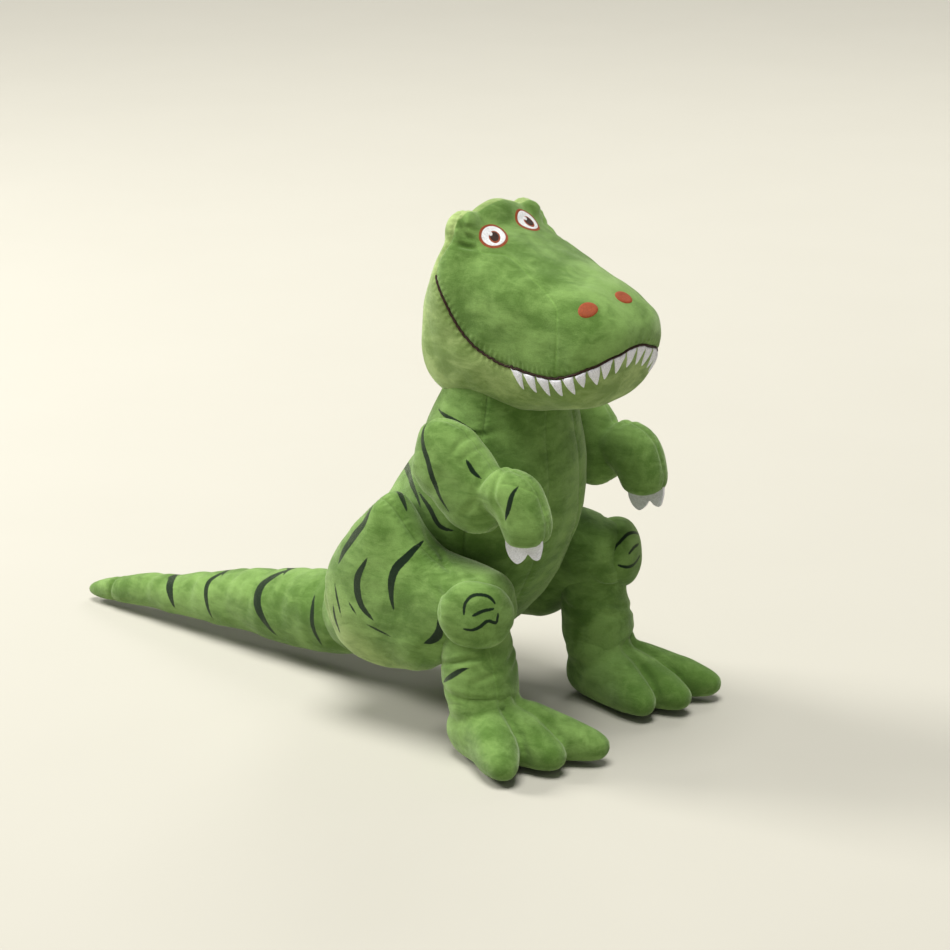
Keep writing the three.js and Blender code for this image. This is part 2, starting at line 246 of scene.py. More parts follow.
# ---- Mesh objects --------------------------------------------------------------------------------
SHARE_IN, SHARE_BACK = 0.6, -0.56
WELD = 1e-6


def mesh_object(name, points, faces):
    mesh = bpy.data.meshes.new(name)
    mesh.from_pydata([tuple(p) for p in points], [], faces)
    mesh.update()
    obj = bpy.data.objects.new(name, mesh)
    bpy.context.collection.objects.link(obj)
    return obj


def bake(obj):
    """Applies the modifiers."""
    graph = bpy.context.evaluated_depsgraph_get()
    graph.update()
    mesh = bpy.data.meshes.new_from_object(obj.evaluated_get(graph))
    obj.modifiers.clear()
    old = obj.data
    obj.data = mesh
    bpy.data.meshes.remove(old)
    mesh.name = obj.name


def shade_smooth(obj):
    for polygon in obj.data.polygons:
        polygon.use_smooth = True


def face_outwards(obj, weld=False):
    """Turns the faces outwards, after joining points that lie on each other where that is asked."""
    shape = bmesh.new()
    shape.from_mesh(obj.data)
    if weld:
        bmesh.ops.remove_doubles(shape, verts=shape.verts, dist=WELD)
    bmesh.ops.recalc_face_normals(shape, faces=shape.faces)
    shape.to_mesh(obj.data)
    shape.free()


def places(obj):
    flat = np.empty(len(obj.data.vertices) * 3)
    obj.data.vertices.foreach_get("co", flat)
    return flat.reshape(-1, 3)


def place(obj, points):
    obj.data.vertices.foreach_set("co", np.ascontiguousarray(points).ravel())
    obj.data.update()


def normals(obj):
    flat = np.empty(len(obj.data.vertices) * 3)
    obj.data.vertex_normals.foreach_get("vector", flat)
    return flat.reshape(-1, 3)


def lift_to_floor(obj):
    points = places(obj)
    points[:, 2] = np.maximum(points[:, 2], FLOOR_GAP)
    place(obj, points)


def relax(obj, rounds):
    """Moves each vertex towards its neighbours' middle and back, so the mesh doesn't shrink."""
    edges = np.empty(len(obj.data.edges) * 2, int)
    obj.data.edges.foreach_get("vertices", edges)
    a, b = edges.reshape(-1, 2).T
    n = len(obj.data.vertices)
    degree = np.bincount(np.concatenate([a, b]), minlength=n)[:, None]
    points = places(obj)
    for step in range(rounds * 2):
        total = np.stack([
            np.bincount(a, points[b, k], n) + np.bincount(b, points[a, k], n) for k in range(3)
        ], axis=1)
        move = total / degree - points
        points = points + move * (SHARE_IN if step % 2 == 0 else SHARE_BACK)
    place(obj, points)


def stuffed(name, parts, voxel=4.0, rounds=14):
    """One smooth closed skin round several overlapping bodies."""
    points, faces, start = [], [], 0
    for part_points, part_faces in parts:
        points.extend(part_points)
        faces.extend(tuple(i + start for i in face) for face in part_faces)
        start += len(part_points)
    obj = mesh_object(name, points, faces)
    remesh = obj.modifiers.new("remesh", "REMESH")
    remesh.mode = "VOXEL"
    remesh.voxel_size = voxel * MM
    bake(obj)
    relax(obj, rounds)
    return obj


# ---- Marks on a skin: distances to lines on it ---------------------------------------------------
FAR_OFF = 1.0
REACH = 0.06


def to_line(points, line):
    """Each point's distance to a line, and how far along it the nearest place is, from 0 to 1."""
    best = np.full(len(points), FAR_OFF)
    where = np.zeros(len(points))
    low, high = line.min(0) - REACH, line.max(0) + REACH
    near = np.flatnonzero(((points > low) & (points < high)).all(1))
    if len(near) == 0:
        return best, where
    p = points[near]
    s = lengths(line)
    d_best = np.full(len(p), FAR_OFF)
    s_best = np.zeros(len(p))
    for i in range(len(line) - 1):
        edge = line[i + 1] - line[i]
        t = np.clip((p - line[i]) @ edge / max(edge @ edge, 1e-12), 0, 1)
        d = np.linalg.norm(p - line[i] - t[:, None] * edge, axis=1)
        closer = d < d_best
        d_best[closer] = d[closer]
        s_best[closer] = s[i] + t[closer] * (s[i + 1] - s[i])
    best[near] = d_best
    where[near] = s_best / s[-1]
    return best, where


def surface(obj):
    mesh = obj.data
    return BVHTree.FromPolygons([v.co for v in mesh.vertices], [p.vertices for p in mesh.polygons])


def onto(tree, line):
    """The nearest places on a skin to each point of a line in metres."""
    return np.array([tree.find_nearest(Vector(p))[0] for p in line])


def attribute(obj, name, values):
    data = obj.data.attributes.new(name, "FLOAT", "POINT")
    data.data.foreach_set("value", np.ascontiguousarray(values, dtype=float))


WAVES, WAVES_PEAK = 9, 3.2


def wave(points, size, seed):
    """Smooth unevenness between about -1 and 1, with lumps of a size in metres."""
    total = np.zeros(len(points))
    for k in range(WAVES):
        turn = np.random.default_rng(seed * 31 + k)
        way = turn.normal(size=3)
        way *= (0.7 + 0.6 * turn.random()) / size / np.linalg.norm(way)
        total += np.sin(points @ way * 2 * np.pi + turn.random() * 6.28)
    return total / WAVES_PEAK


def bell(distance, width):
    return np.exp(-((distance / width) ** 2))


# Lumps of wadding: size in metres, share of the depth, and shift of the seed.
LUMPS = [(0.085, 1.0, 0), (0.035, 0.35, 50)]
# Across a seam, in metres: its narrow groove, the wider dip about it, and where the pucker lies.
GROOVE_WIDTH, DIP_WIDTH, DIP_SHARE = 0.0032, 0.011, 0.7
PUCKER_FROM, PUCKER_AT, PUCKER_WIDTH, PUCKER_SHARE = 0.0015, 0.006, 0.005, 0.28
# Along a seam, in metres: the pucker's step, and the slower drift that makes it uneven.
PUCKER_STEP, DRIFT_STEP, DRIFT = 0.0085, 0.031, 2.5
# A ridge stands beside each fold, at this many times the fold's width.
RIDGE_AT, RIDGE_SHARE = 1.9, 0.22
STITCH_DEPTH, STITCH_WIDTH = 0.7, 0.0022
UNMARKED = 0.05


def finish_skin(obj, seams=(), folds=(), stripes=(), stitching=(), pale=None, lumps=1.3, seed=1,
                taper=0.65):
    """Fine surface of a sewn skin: lumps, puckered seams, folds, and the places of printed stripes.

    Seams are lines with a depth, folds lines with a depth and width, stripes lines with a width.
    """
    obj.modifiers.new("fine", "SUBSURF").levels = 1
    bake(obj)
    points = places(obj)
    normal = normals(obj)
    tree = surface(obj)
    depth = sum(
        wave(points, size, seed + shift) * share * lumps * MM for size, share, shift in LUMPS
    )
    seam_distance = np.full(len(points), FAR_OFF)
    for n, (line, deep) in enumerate(seams):
        curve = onto(tree, smoothed(line))
        d, s = to_line(points, curve)
        s *= lengths(curve)[-1]
        ripple = np.sin(s / PUCKER_STEP * 2 * np.pi + DRIFT * np.sin(s / DRIFT_STEP + n))
        pucker = PUCKER_SHARE * ripple * bell(d - PUCKER_AT, PUCKER_WIDTH) * (d > PUCKER_FROM)
        depth += deep * MM * (pucker - bell(d, GROOVE_WIDTH) - DIP_SHARE * bell(d, DIP_WIDTH))
        seam_distance = np.minimum(seam_distance, d)
    for line, deep, width in folds:
        d, s = to_line(points, onto(tree, smoothed(line)))
        width *= MM
        fade = np.sin(np.pi * np.clip(s, 0.02, 0.98)) ** 0.6
        ridge = RIDGE_SHARE * bell(d - RIDGE_AT * width, width)
        depth += deep * MM * fade * (ridge - bell(d, width))
    stitch_distance = np.full(len(points), FAR_OFF)
    for line in stitching:
        d, _ = to_line(points, onto(tree, smoothed(line)))
        depth -= STITCH_DEPTH * MM * bell(d, STITCH_WIDTH)
        stitch_distance = np.minimum(stitch_distance, d)
    stripe_distance = np.full(len(points), UNMARKED)
    for line, wide in stripes:
        d, s = to_line(points, onto(tree, smoothed(line)))
        half = wide / 2 * MM * np.sin(np.pi * np.clip(s, 0.01, 0.99)) ** taper
        stripe_distance = np.minimum(stripe_distance, d - half)
    place(obj, points + normal * depth[:, None])
    attribute(obj, "seam", seam_distance)
    attribute(obj, "line", stitch_distance)
    attribute(obj, "stripe", stripe_distance)
    attribute(obj, "pale", np.full(len(points), UNMARKED) if pale is None else pale(points))
    shade_smooth(obj)


# ---- Materials -----------------------------------------------------------------------------------
GREEN = (0.124, 0.236, 0.046, 1)
PALE = (0.228, 0.340, 0.092, 1)
STRIPE = (0.006, 0.018, 0.007, 1)
# The pile lies in light and dark clouds and streaks: each noise's settings, and the pile's tints.
CLOUDS = {"scale": 9, "detail": 4, "rough": 0.6, "distortion": 0.9}
STREAKS = {"scale": 42, "detail": 5, "rough": 0.65, "distortion": 0.5, "stretch": (0.6, 1.0, 1.5)}
CLOUDS_SHARE, STREAKS_SHARE = 0.6, 0.4
NAP_LIGHT, NAP_DARK = (1.62, 1.42, 1.95, 1), (0.68, 0.71, 0.66, 1)
NAP_FROM, NAP_TO = 0.38, 0.64
STITCH_SHINE, SEAM_SHADE = 1.16, 0.80
RAGGED = 0.0018
FIBRE, TUFT = {"scale": 900, "detail": 2, "rough": 0.7}, {"scale": 120, "detail": 4, "rough": 0.6}
FIBRE_DARK, FIBRE_LIGHT = 0.88, 1.12
PLUSH_SURFACE = {
    "Roughness": 0.92, "Specular IOR Level": 0.12, "Sheen Weight": 0.46, "Sheen Roughness": 0.42,
    "Sheen Tint": (0.80, 0.92, 0.62, 1),
}
THREAD_DARK, THREAD_LIGHT = 0.72, 1.15
FLOOR_DARK, FLOOR_LIGHT = (0.455, 0.44, 0.38, 1), (0.47, 0.455, 0.395, 1)


class Nodes:
    """A material's node tree, built by short calls."""

    def __init__(self, name):
        self.material = bpy.data.materials.new(name)
        self.material.use_nodes = True
        self.tree = self.material.node_tree
        self.surface = self.tree.nodes["Principled BSDF"]

    def add(self, kind, links=None, **settings):
        node = self.tree.nodes.new("ShaderNode" + kind)
        for key, value in settings.items():
            setattr(node, key, value)
        for key, value in (links or {}).items():
            self.set(node, key, value)
        return node

    def set(self, node, key, value):
        socket = node.inputs[key]
        if isinstance(value, bpy.types.NodeSocket):
            self.tree.links.new(value, socket)
        else:
            socket.default_value = value

    def finish(self, settings):
        for key, value in settings.items():
            self.set(self.surface, key, value)
        return self.material

    def noise(self, scale, detail, rough, distortion=0.0, stretch=None):
        where = self.add("TexCoord").outputs["Object"]
        if stretch:
            where = self.add("Mapping", {"Vector": where, "Scale": stretch}).outputs["Vector"]
        return self.add("TexNoise", {
            "Vector": where, "Scale": scale, "Detail": detail, "Roughness": rough,
            "Distortion": distortion,
        }).outputs["Fac"]

    def attribute(self, name):
        return self.add("Attribute", attribute_name=name).outputs["Fac"]

    def remap(self, value, low, high, to_low=0.0, to_high=1.0):
        return self.add("MapRange", {
            "Value": value, "From Min": low, "From Max": high, "To Min": to_low, "To Max": to_high,
        }, interpolation_type="SMOOTHSTEP").outputs["Result"]

    def math(self, kind, a, b):
        return self.add("Math", {0: a, 1: b}, operation=kind).outputs[0]

    def mix(self, factor, a, b, kind="MIX"):
        """A mix of two colours, which are the node's inputs 6 and 7 and its output 2."""
        node = self.add("Mix", data_type="RGBA", blend_type=kind)
        self.set(node, 0, factor)
        self.set(node, 6, a)
        self.set(node, 7, b)
        return node.outputs[2]

    def tinted(self, colour, tint):
        return self.mix(1.0, colour, tint, "MULTIPLY")

    def shaded(self, colour, shade):
        """A colour made lighter or darker by a number."""
        grey = self.add("CombineColor", {"Red": shade, "Green": shade, "Blue": shade})
        return self.tinted(colour, grey.outputs[0])

    def bump(self, height, distance, strength, normal=None):
        links = {"Height": height, "Distance": distance, "Strength": strength}
        if normal is not None:
            links["Normal"] = normal
        return self.add("Bump", links).outputs["Normal"]


def plush_material(name):
    n = Nodes(name)
    nap = n.math("ADD", n.math("MULTIPLY", n.noise(**CLOUDS), CLOUDS_SHARE),
                 n.math("MULTIPLY", n.noise(**STREAKS), STREAKS_SHARE))
    pile = n.mix(n.remap(n.attribute("pale"), -0.0006, 0.0006), PALE, GREEN)
    colour = n.mix(n.remap(nap, NAP_FROM, NAP_TO),
                   n.tinted(pile, NAP_DARK), n.tinted(pile, NAP_LIGHT))
    colour = n.shaded(colour, n.remap(n.attribute("line"), 0.0004, 0.0022, STITCH_SHINE, 1.0))
    ragged = n.math("MULTIPLY", n.math("SUBTRACT", n.noise(420, 3, 0.5), 0.5), RAGGED)
    inked = n.remap(n.math("ADD", n.attribute("stripe"), ragged), -0.0006, 0.0007, 1, 0)
    colour = n.mix(inked, colour, STRIPE)
    colour = n.shaded(colour, n.remap(n.attribute("seam"), 0.0, 0.0018, SEAM_SHADE, 1))
    fibre = n.noise(**FIBRE)
    colour = n.shaded(colour, n.remap(fibre, 0.3, 0.7, FIBRE_DARK, FIBRE_LIGHT))
    tufts = n.bump(n.noise(**TUFT), 0.0011, 0.55)
    n.finish({"Base Color": colour, "Normal": n.bump(fibre, 0.0007, 0.8, tufts)})
    return n.finish(PLUSH_SURFACE)


def thread_material(name, colour, sheen, scale=260, stretch=(1, 1, 1)):
    n = Nodes(name)
    stitches = n.noise(scale, 2, 0.6, stretch=stretch)
    return n.finish({
        "Base Color": n.shaded(colour, n.remap(stitches, 0.3, 0.7, THREAD_DARK, THREAD_LIGHT)),
        "Roughness": 0.62,
        "Specular IOR Level": 0.2,
        "Sheen Weight": sheen,
        "Normal": n.bump(stitches, 0.0006, 0.8),
    })


plush = plush_material("plush")
felt = thread_material("felt", (0.80, 0.80, 0.85, 1), 0.3, 900)
dark_thread = thread_material("dark_thread", (0.030, 0.012, 0.007, 1), 0.0)
eye_thread = thread_material("eye_thread", (0.74, 0.75, 0.75, 1), 0.0, 300, (1, 6, 1))
rust_thread = thread_material("rust_thread", (0.27, 0.055, 0.015, 1), 0.03, 300, (1, 5, 1))
orange_thread = thread_material("orange_thread", (0.31, 0.062, 0.018, 1), 0.03, 300, (5, 1, 1))


def turn_head(obj):
    """The stuffed head sits turned to the toy's right; its pieces are made straight ahead."""
    cos, sin = math.cos(HEAD_TURN), math.sin(HEAD_TURN)
    x, y, z = (places(obj) - np.array(NECK)).T
    place(obj, np.stack([x * cos - y * sin, x * sin + y * cos, z], axis=1) + np.array(NECK))


def declare(obj, body, material, nodes=()):
    if body == "head":
        turn_head(obj)
    obj.data.materials.append(material)
    if body:
        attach(obj, body)
    if nodes:
        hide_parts(*nodes)

# ---- Torso and neck ------------------------------------------------------------------------------
TORSO = [
    (-44, 0, 92, 82, 70), (30, 0, 104, 90, 82), (94, 0, 142, 102, 106), (165, 0, 195, 113, 124),
    (228, 0, 262, 117, 130), (268, 0, 340, 115, 122), (280, 0, 410, 116, 110),
    (290, 0, 470, 108, 96), (292, 0, 540, 104, 90), (290, 0, 612, 98, 84),
]
CHEST_SEAM = [
    ([(404, 34.96, 470), (392, 38, 420), (386, 38, 350), (362, 38, 262), (322, 34.2, 190),
      (262, 22.8, 120)], 1.1),
]
BACK_SEAM = [([(196, 0, 470), (178, 0, 420), (128, 0, 340), (60, 0, 250), (-10, 0, 180)], 2.0)]
ARM_ROOT_SEAMS = [
    ([(318, 92, 520), (318, 96, 470), (316, 101, 430)], 1.4),
    ([(300, 100, 330), (295, 112, 303), (290, 108, 262)], 1.6),
]
ARMPIT_FOLD = [([(350, 96, 452), (300, 112, 440), (240, 96, 448)], 3.0, 5)]
TORSO_STRIPES = [
    ([(118, 20, 322), (150, 54, 356), (202, 128, 341), (219, 134, 324)], 12),
    ([(200, 70, 430), (205, 88, 412), (229, 106, 389), (242, 111, 366), (258, 115, 345),
      (277, 115, 330)], 8.5),
    ([(211, 105, 344), (238, 114, 326), (258, 117, 305), (282, 116, 302)], 8),
    ([(232, 88, 462), (240, 93, 460), (279, 104, 453), (311, 101, 443)], 6),
]
torso = stuffed("torso_plush", [loft(TORSO)], voxel=5.0)
finish_skin(torso, both_sides(CHEST_SEAM) + BACK_SEAM + both_sides(ARM_ROOT_SEAMS),
            both_sides(ARMPIT_FOLD), both_sides(TORSO_STRIPES), seed=3)
declare(torso, None, plush,
        ["chest_panel", "torso_panel_right", "torso_panel_left", "torso_filling",
         "neck_filling"])
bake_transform(torso)

# ---- Head ----------------------------------------------------------------------------------------
HEAD = [
    (184, 588, 590, 2), (186, 570, 610, 34), (190, 541, 626, 57), (200, 496, 648, 79),
    (212, 472, 664, 91), (230, 461, 692, 101), (244, 458, 716, 107), (256, 458, 731, 111),
    (268, 459, 733, 113), (281, 460, 724, 113), (294, 461, 712, 112), (308, 462, 705, 110),
    (327, 464, 700, 107), (345, 466, 693, 104), (378, 472, 681, 98), (416, 479, 669, 90),
    (442, 485, 661, 85), (470, 495, 651, 81), (488, 511, 642, 76), (502, 533, 634, 68),
    (513, 555, 626, 56), (520, 572, 618, 42), (525, 586, 609, 22), (526, 592, 598, 2),
]
MOUTH = [
    (252, 654), (275, 624), (288, 604), (304, 584), (327, 564), (364, 549), (401, 542), (433, 539),
    (452, 540), (483, 551), (506, 563), (520, 576), (525, 585), (560, 587),
]
NAPE = [(285, 820), (263, 698), (257, 682), (251, 668)]
SNOUT_SEAM = [
    (292, 66, 694), (305, 74, 688), (340, 60, 686), (393, 63, 661), (423, 66, 646), (447, 73, 629),
    (453, 80, 610), (452, 79, 542),
]
BROW_SEAM = [
    ([(252, 106, 654), (251, 101, 668), (257, 95, 682), (263, 88, 698), (262, 78, 724),
      (256, 40, 738)], 1.5),
]
BROW_PINCHES = [
    ([(268, 86, 722), (274, 82, 718), (283, 77, 705), (292, 67, 700)], 5.0, 4.5),
    ([(266, 70, 738), (271, 73, 731), (281, 76, 718), (287, 67, 714)], 5.0, 4.5),
    ([(274, 88, 696), (279, 85, 694), (289, 80, 692), (299, 73, 691)], 5.0, 4.5),
]
BROW, BROW_SIZE = (262, 59, 705), (27, 28, 31)
CROWN, CROWN_SIZE = (264, 0, 703), (29, 60, 38)
JAW_OUTLINE = NAPE + MOUTH + [(600, 600), (600, 820)]
# The mouth runs round the muzzle's middle, this far to each side.
MUZZLE_X, MUZZLE_Z, MUZZLE_REACH = 0.370, 560.0, 0.4
MOUTH_SWEEP, MOUTH_POINTS, MOUTH_DEPTH = 138, 120, 1.6
head = stuffed("head_plush", [
    slices(HEAD),
    *[ellipsoid(mirrored([BROW], sign)[0], BROW_SIZE) for _, sign in SIDES],
    ellipsoid(CROWN, CROWN_SIZE),
], rounds=24)
head_tree = surface(head)


def around_muzzle(degrees):
    """The place on the head under a turn about the muzzle's middle, at the mouth's height."""
    way = Vector((math.cos(math.radians(degrees)), math.sin(math.radians(degrees)), 0))
    z = MUZZLE_Z
    for _ in range(12):
        middle = Vector((MUZZLE_X, 0, z * MM))
        spot = head_tree.ray_cast(middle + way * MUZZLE_REACH, -way)[0]
        z = float(np.interp(spot.x / MM, *zip(*MOUTH)))
    return np.array(head_tree.find_nearest(spot)[0])


turns = np.linspace(-MOUTH_SWEEP, MOUTH_SWEEP, MOUTH_POINTS)
mouth_line = np.array([around_muzzle(turn) for turn in turns])


def outside_line(points, corners):
    """Distance in the side view to a closed outline, negative inside it, all in millimetres."""
    xz = points[:, [0, 2]] / MM
    inside = np.zeros(len(xz), bool)
    best = np.full(len(xz), 1e9)
    for (x0, z0), (x1, z1) in zip(corners, corners[1:] + corners[:1]):
        edge = np.array([x1 - x0, z1 - z0])
        t = np.clip(((xz - (x0, z0)) @ edge) / (edge @ edge), 0, 1)
        best = np.minimum(best, np.linalg.norm(xz - (x0, z0) - t[:, None] * edge, axis=1))
        crossing = (z0 > xz[:, 1]) != (z1 > xz[:, 1])
        with np.errstate(divide="ignore", invalid="ignore"):
            cut = x0 + (xz[:, 1] - z0) * (x1 - x0) / (z1 - z0 if z1 != z0 else 1e-9)
        inside ^= crossing & (xz[:, 0] < cut)
    return np.where(inside, -best, best)


def jaw(points):
    return -outside_line(points, JAW_OUTLINE) * MM


head_seams = [([tuple(p / MM) for p in mouth_line], MOUTH_DEPTH)] + both_sides(BROW_SEAM)
snout_seams = [mirrored(SNOUT_SEAM, sign) for _, sign in SIDES]
finish_skin(head, head_seams, both_sides(BROW_PINCHES), stitching=snout_seams, pale=jaw, seed=5)
head_tree = surface(head)
declare(head, "head", plush,
        ["head_top_panel", "head_side_panel_right", "head_side_panel_left", "jaw_panel",
         "head_filling"])

CORD_UP, CORD_END, CORD_WOBBLE = (0.3, 0.2, 0.93), 0.35, 0.12
CORD_RADIUS, CORD_STEP, CORD_LIFT = 0.0017, 0.003, 0.0008


def cord(name, line, radius, sides=8):
    """A thin round cord along a line in metres, a little uneven and with narrow ends."""
    along = np.gradient(line, axis=0)
    along /= np.linalg.norm(along, axis=1)[:, None]
    side = np.cross(along, CORD_UP)
    side /= np.linalg.norm(side, axis=1)[:, None]
    up = np.cross(side, along)
    points, faces = [line[0]], []
    n = len(line)
    for i in range(n):
        thick = radius * (CORD_END if i in (0, n - 1) else 1 + CORD_WOBBLE * math.sin(i * 1.9))
        for k in range(sides):
            a = 2 * math.pi * k / sides
            points.append(line[i] + (side[i] * math.cos(a) + up[i] * math.sin(a)) * thick)
    points.append(line[-1])
    last = 1 + (n - 1) * sides
    for i in range(n - 1):
        for k in range(sides):
            a, b = 1 + i * sides + k, 1 + i * sides + (k + 1) % sides
            faces.append((a, b, b + sides, a + sides))
    for k in range(sides):
        faces.append((0, 1 + (k + 1) % sides, 1 + k))
        faces.append((len(points) - 1, last + k, last + (k + 1) % sides))
    obj = mesh_object(name, points, faces)
    shade_smooth(obj)
    return obj


def lifted(tree, line, height):
    """A line laid on a skin, at a height above it."""
    out = []
    for p in line:
        spot, normal, *_ = tree.find_nearest(Vector(p))
        out.append(np.array(spot + normal * height))
    return np.array(out)


cord_line = lifted(head_tree, resampled(mouth_line, CORD_STEP), CORD_LIFT)
mouth = cord("mouth_cord", cord_line, CORD_RADIUS)
declare(mouth, "head", dark_thread, ["mouth_seam"])


PATCH_RAY, PATCH_TUCK = 0.06, 0.0006


def patch(name, tree, centre, facing, outline, height, rings=14, sides=48, edge=0.4,
          up=(0, 0, 1)):
    """A thin piece laid on a skin. Its outline gives the reach in metres at an angle."""
    facing = Vector(facing).normalized()
    up = (Vector(up) - facing * Vector(up).dot(facing)).normalized()
    right = up.cross(facing)
    centre = Vector(centre)
    points, faces = [], []
    for ring in range(rings + 1):
        r = ring / rings
        for i in range(sides):
            a = 2 * math.pi * i / sides
            reach = outline(a) * r
            spot = centre + right * (math.cos(a) * reach) + up * (math.sin(a) * reach)
            hit = tree.ray_cast(spot + facing * PATCH_RAY, -facing)
            base, normal = (hit[0], hit[1]) if hit[0] is not None else tree.find_nearest(spot)[:2]
            rise = height * (1 - max(0.0, (r - edge) / (1 - edge)) ** 4)
            points.append(base + normal * (rise - (PATCH_TUCK if ring == rings else 0)))
    for ring in range(rings):
        for i in range(sides):
            a, b = ring * sides + i, ring * sides + (i + 1) % sides
            faces.append((a, a + sides, b + sides, b) if ring else (a, a + sides, b + sides))
    obj = mesh_object(name, points, faces)
    face_outwards(obj, weld=True)
    shade_smooth(obj)
    return obj


def oval(width, height):
    a, b = width / 2 * MM, height / 2 * MM
    return lambda t: a * b / math.hypot(b * math.cos(t), a * math.sin(t))


EYES = {"right": (0.303, -0.046, 0.703), "left": (0.294, 0.027, 0.709)}
EYES_FACE = {"right": (0.68, -0.48, 0.50), "left": (0.70, -0.22, 0.64)}
NOSTRILS = {"right": (0.483, -0.053, 0.634), "left": (0.488, 0.010, 0.640)}
# Ovals: width and height in millimetres, and how far each stands above the skin in metres.
EYE_RIM, EYE_WHITE = (oval(41, 43), 0.0012), (oval(35.5, 37.5), 0.0021)
EYE_IRIS, EYE_PUPIL = (oval(19, 27), 0.0026), (oval(15, 22), 0.0030)
EYE_GLINT = (oval(6, 9), 0.0036)
NOSTRIL = (oval(25, 27), 0.0016)
IRIS_SHIFT, GLINT_SHIFT = Vector((0.002, 0, -0.002)), Vector((-0.003, -0.003, 0.005))
for side, sign in SIDES:
    eye = Vector(onto(head_tree, [EYES[side]])[0])
    face = EYES_FACE[side]
    iris = eye + IRIS_SHIFT
    rim = patch(f"eye_rim_{side}", head_tree, eye, face, *EYE_RIM)
    declare(rim, "head", rust_thread)
    white = patch(f"eye_white_{side}", head_tree, eye, face, *EYE_WHITE)
    declare(white, "head", eye_thread, [f"eye_{side}"])
    ring = patch(f"eye_iris_{side}", head_tree, iris, face, *EYE_IRIS)
    declare(ring, "head", rust_thread)
    pupil = patch(f"eye_pupil_{side}", head_tree, iris, face, *EYE_PUPIL)
    declare(pupil, "head", dark_thread, [f"pupil_{side}"])
    glint = patch(f"eye_glint_{side}", head_tree, iris + GLINT_SHIFT, face, *EYE_GLINT, 4, 16)
    declare(glint, "head", eye_thread)
    nostril = patch(f"nostril_patch_{side}", head_tree, NOSTRILS[side], (0.5, sign * 0.12, 0.86),
                    *NOSTRIL, up=(0, 1, 0))
    declare(nostril, "head", orange_thread, [f"nostril_{side}"])

# Teeth: felt triangles under the mouth cord, evenly spaced from the middle of the muzzle.
TEETH_EACH_SIDE, TOOTH_GRID = 10, (12, 8)
TOOTH_WIDE, TOOTH_LONG, TOOTH_STEP = 0.0182, 0.0290, 0.0206
TOOTH_THICK, TOOTH_TUCK, TOOTH_EDGE, TOOTH_TIP = 0.0015, 0.0008, 0.0003, 0.0006
TOOTH_DROP, TOOTH_POINTED = 0.0015, 0.82
# Teeth lean towards the middle, fully so from this distance on.
TOOTH_LEAN, LEAN_FULL = 0.30, 0.09
mouth_steps = lengths(mouth_line)
mouth_middle = mouth_steps[-1] / 2


def on_mouth(s):
    return Vector([np.interp(mouth_middle + s, mouth_steps, mouth_line[:, k]) for k in range(3)])


def tooth(name, s):
    """One tooth, hanging from the mouth line at a distance along it from its middle."""
    gum = on_mouth(s)
    along = (on_mouth(s + 0.004) - on_mouth(s - 0.004)).normalized()
    normal = head_tree.find_nearest(gum)[1]
    down = Vector((0, 0, -1))
    down = (down - normal * down.dot(normal)).normalized()
    down = (down - along * math.copysign(TOOTH_LEAN, s) * min(1.0, abs(s) / LEAN_FULL)).normalized()
    rows, columns = TOOTH_GRID
    points, faces = [], []
    for layer in (0, 1):
        for i in range(rows + 1):
            v = i / rows
            half = TOOTH_WIDE / 2 * (1 - v) ** TOOTH_POINTED + TOOTH_TIP
            for j in range(columns + 1):
                u = 2 * j / columns - 1
                spot = gum + down * (TOOTH_DROP + TOOTH_LONG * v) + along * (half * u)
                base, out, *_ = head_tree.find_nearest(spot)
                swell = TOOTH_THICK * (1 - abs(u) ** 5) * (1 - v**6)
                rise = swell + TOOTH_EDGE if layer else -TOOTH_TUCK
                points.append(base + out * rise)
    size = (rows + 1) * (columns + 1)
    at = lambda i, j: i * (columns + 1) + j
    for i in range(rows):
        for j in range(columns):
            quad = (at(i, j), at(i, j + 1), at(i + 1, j + 1), at(i + 1, j))
            faces.append(tuple(size + k for k in quad))
            faces.append(quad[::-1])
    border = [at(0, j) for j in range(columns + 1)] + [at(i, columns) for i in range(1, rows + 1)]
    border += [at(rows, j) for j in range(columns - 1, -1, -1)]
    border += [at(i, 0) for i in range(rows - 1, 0, -1)]
    for k, here in enumerate(border):
        after = border[(k + 1) % len(border)]
        faces.append((here, after, size + after, size + here))
    obj = mesh_object(name, points, faces)
    face_outwards(obj)
    shade_smooth(obj)
    return obj


for number in range(TEETH_EACH_SIDE):
    for side, sign in SIDES:
        felt_tooth = tooth(f"tooth_{side}_{number + 1}", sign * TOOTH_STEP * (number + 0.5))
        declare(felt_tooth, "head", felt, ["teeth"])

# ---- Arms ----------------------------------------------------------------------------------------
ARM = [
    (238, 138, 434, 20, 32), (254, 138, 430, 32, 50), (280, 139, 415, 37, 58),
    (310, 140, 396, 37, 56), (334, 140, 368, 37, 53), (362, 140, 350, 34, 44),
    (378, 140, 344, 26, 30),
]
HAND = [
    (352, 140, 376, 30, 28), (380, 140, 382, 33, 35), (404, 140, 375, 34, 38),
    (418, 140, 352, 33, 36), (420, 140, 318, 31, 32),
]
CLAWS = [
    (391, 332), (393, 306), (400, 295), (411, 290), (420, 297), (428, 307), (436, 302), (443, 301),
    (449, 314), (449, 334),
]
CLAWS_Y, CLAWS_HALF = 146, 0.002


def claw_felt(name, y):
    """The hand's claws, cut as one flat piece of felt."""
    outline = smoothed([(x, y, z) for x, z in CLAWS + CLAWS[:1]], 2.0)[:-1]
    n = len(outline)
    near, far = (outline + np.array((0, shift, 0)) for shift in (-CLAWS_HALF, CLAWS_HALF))
    faces = [tuple(range(n)), tuple(range(2 * n - 1, n - 1, -1))]
    faces += [(i, n + i, n + (i + 1) % n, (i + 1) % n) for i in range(n)]
    obj = mesh_object(name, [*near, *far], faces)
    face_outwards(obj)
    return obj


